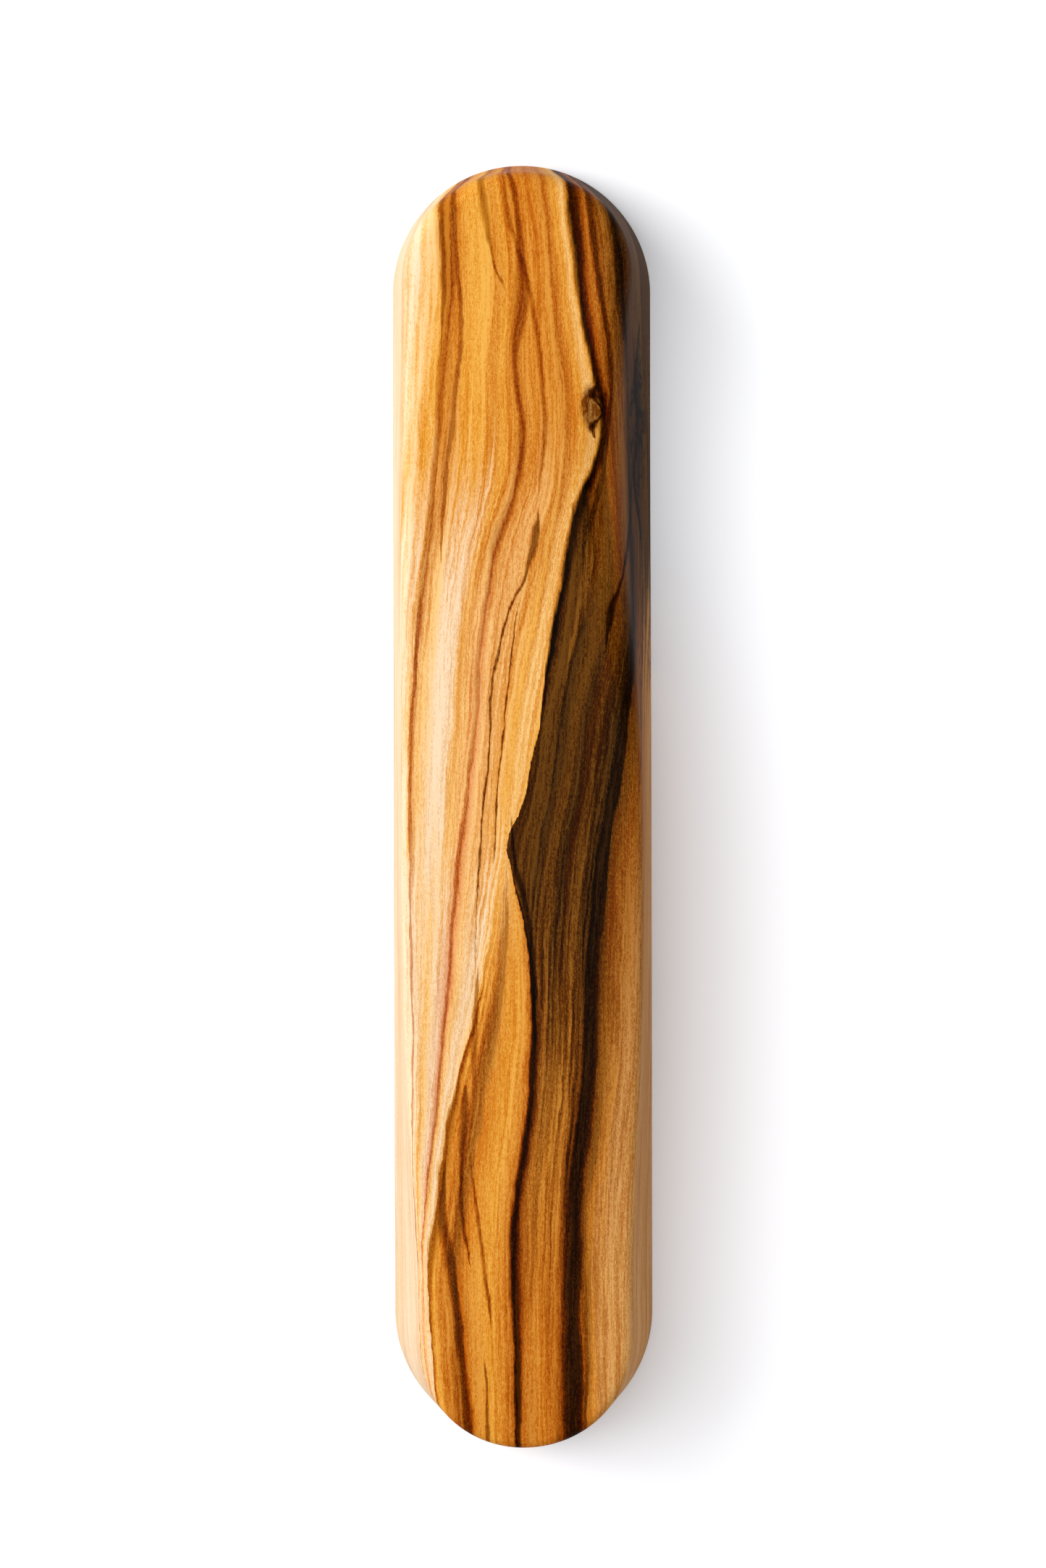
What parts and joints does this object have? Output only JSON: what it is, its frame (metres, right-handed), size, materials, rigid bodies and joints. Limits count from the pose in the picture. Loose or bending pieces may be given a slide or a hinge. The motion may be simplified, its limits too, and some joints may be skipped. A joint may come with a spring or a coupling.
{
  "type": "mezuzah case",
  "caption": "Round-ended wooden mezuzah case with a dovetailed back slide, holding a rolled blank parchment in a clear sleeve.",
  "frame": {"origin": "centre of the back of the case, on the surface that it lies on", "axes": "+Z out of the front of the case, +Y along the case towards its top end, +X to the right seen from the front"},
  "size_m": [0.0304, 0.15, 0.02],
  "materials": {
    "case_wood": "figured olive wood, sanded smooth, oiled to a satin gloss",
    "slide_wood": "plain olive wood, sanded, thin oil",
    "parchment": "rolled blank parchment, matt",
    "clear_film": "clear glossy film",
    "foam_tape": "white closed-cell foam, matt",
    "liner_paper": "waxed release paper, slight sheen"
  },
  "bodies": {
    "case": {"case_body": "case_wood"},
    "slide": {"back_slide": "slide_wood", "upper_tape_pad": "foam_tape", "upper_liner": "liner_paper", "lower_tape_pad": "foam_tape", "lower_liner": "liner_paper"},
    "scroll": {"scroll": "parchment", "scroll_sleeve": "clear_film"}
  },
  "joints": [
    {"name": "back_slide_out", "type": "slide", "parent": "case", "child": "slide", "axis": [0, -1, 0], "range_m": [0, 0.142]},
    {"name": "scroll_play", "type": "slide", "parent": "case", "child": "scroll", "axis": [0, 1, 0], "range_m": [-0.002, 0.002]}
  ]
}
